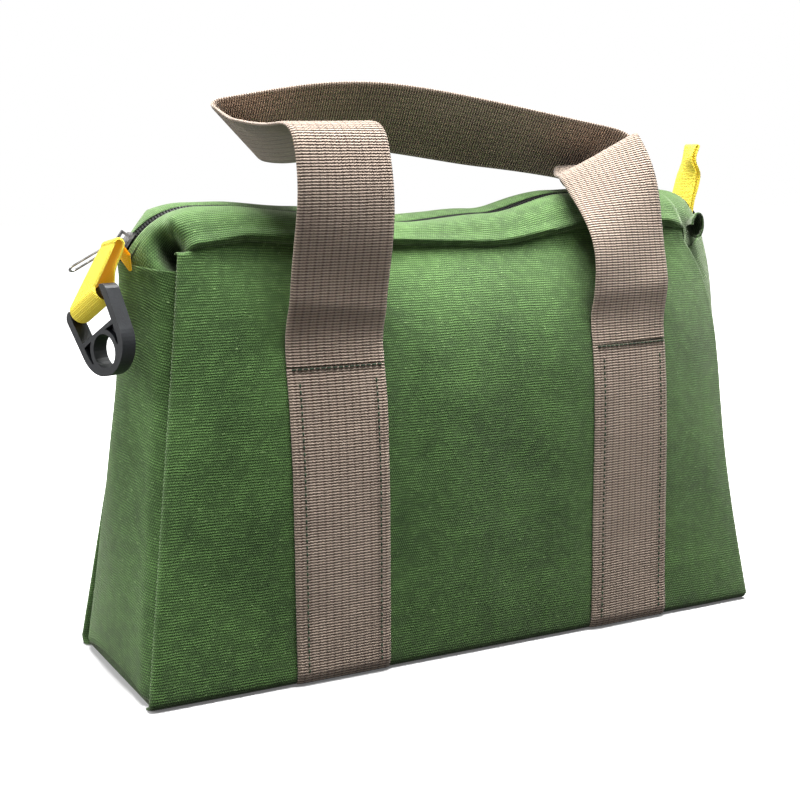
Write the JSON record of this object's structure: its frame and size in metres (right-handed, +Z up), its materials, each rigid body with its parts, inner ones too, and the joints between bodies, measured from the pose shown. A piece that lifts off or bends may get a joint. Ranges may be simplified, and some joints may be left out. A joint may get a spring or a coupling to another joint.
{
  "type": "canvas tool bag",
  "caption": "Green canvas tool bag with a zipped top, two wide webbing handles, yellow webbing tabs and a black clip ring.",
  "frame": {"origin": "middle of the base's underside, on the surface that the bag stands on", "axes": "+Z up, +X along the bag towards the end with the standing yellow tab, -Y out of the front panel"},
  "size_m": [0.3803, 0.1807, 0.289],
  "materials": {
    "green_canvas": "ribbed cotton canvas, matte",
    "brown_webbing": "coarse woven webbing",
    "yellow_webbing": "fine woven webbing",
    "black_tape": "woven zip tape",
    "black_teeth": "moulded zip teeth",
    "black_plastic": "moulded, fine grain",
    "zip_metal": "bright plated metal",
    "green_thread": "dense bar stitching"
  },
  "bodies": {
    "bag": {"front_panel": "green_canvas", "rear_panel": "green_canvas", "left_gusset": "green_canvas", "right_gusset": "green_canvas", "base_panel": "green_canvas", "front_top_left_end": "green_canvas", "front_top_right_end": "green_canvas", "rear_top_left_end": "green_canvas", "rear_top_right_end": "green_canvas", "front_tape_left_end": "black_tape", "front_tape_right_end": "black_tape", "rear_tape_left_end": "black_tape", "rear_tape_right_end": "black_tape", "front_teeth_left_end": "black_teeth", "front_teeth_right_end": "black_teeth", "rear_teeth_left_end": "black_teeth", "rear_teeth_right_end": "black_teeth", "front_zip_left_stop": "zip_metal", "front_zip_right_stop": "zip_metal", "rear_zip_left_stop": "zip_metal", "rear_zip_right_stop": "zip_metal", "front_strap_left": "brown_webbing", "front_strap_right": "brown_webbing", "rear_strap_left": "brown_webbing", "rear_strap_right": "brown_webbing", "front_bar_tack_left": "green_thread", "front_bar_tack_right": "green_thread", "rear_bar_tack_left": "green_thread", "rear_bar_tack_right": "green_thread", "left_tab_root": "yellow_webbing"},
    "front_flap": {"front_top_strip": "green_canvas", "front_zip_tape": "black_tape", "front_zip_teeth": "black_teeth"},
    "rear_flap": {"rear_top_strip": "green_canvas", "rear_zip_tape": "black_tape", "rear_zip_teeth": "black_teeth"},
    "slider": {"zip_slider": "zip_metal"},
    "pull": {"zip_pull": "zip_metal"},
    "front_grip": {"front_handle": "brown_webbing"},
    "rear_grip": {"rear_handle": "brown_webbing"},
    "tab": {"left_tab": "yellow_webbing"},
    "ring": {"clip_ring": "black_plastic"},
    "standing_tab": {"right_tab": "yellow_webbing"}
  },
  "joints": [
    {"name": "front_handle_swing", "type": "hinge", "parent": "bag", "child": "front_grip", "pos_m": [0, -0.0535, 0.154], "axis": [1, 0, 0], "range_deg": [0, 134]},
    {"name": "rear_handle_swing", "type": "hinge", "parent": "bag", "child": "rear_grip", "pos_m": [0, 0.0538, 0.1543], "axis": [1, 0, 0], "range_deg": [0, 110]},
    {"name": "front_flap_fold", "type": "hinge", "parent": "bag", "child": "front_flap", "pos_m": [0, -0.0265, 0.2025], "axis": [1, 0, 0], "range_deg": [0, 75]},
    {"name": "rear_flap_fold", "type": "hinge", "parent": "bag", "child": "rear_flap", "pos_m": [0, 0.0265, 0.2025], "axis": [-1, 0, 0], "range_deg": [0, 75]},
    {"name": "zip_slide", "type": "hinge", "parent": "bag", "child": "slider", "pos_m": [-0.131, 0, 0.188], "axis": [0, 1, 0], "range_deg": [0, 55]},
    {"name": "zip_pull_swing", "type": "hinge", "parent": "slider", "child": "pull", "pos_m": [-0.16647, 0, 0.21284], "axis": [0, 1, 0], "range_deg": [0, 145]},
    {"name": "left_tab_swing", "type": "hinge", "parent": "bag", "child": "tab", "pos_m": [-0.1752, -0.0135, 0.211], "axis": [0, 1, 0], "range_deg": [0, 100]},
    {"name": "clip_ring_swing", "type": "hinge", "parent": "tab", "child": "ring", "pos_m": [-0.1853, -0.0113, 0.1852], "axis": [-0.2999, 0.7998, -0.5199], "range_deg": [-15, 100]},
    {"name": "right_tab_bend", "type": "hinge", "parent": "bag", "child": "standing_tab", "pos_m": [0.1687, 0, 0.22428], "axis": [0, 1, 0], "range_deg": [-20, 100]}
  ]
}
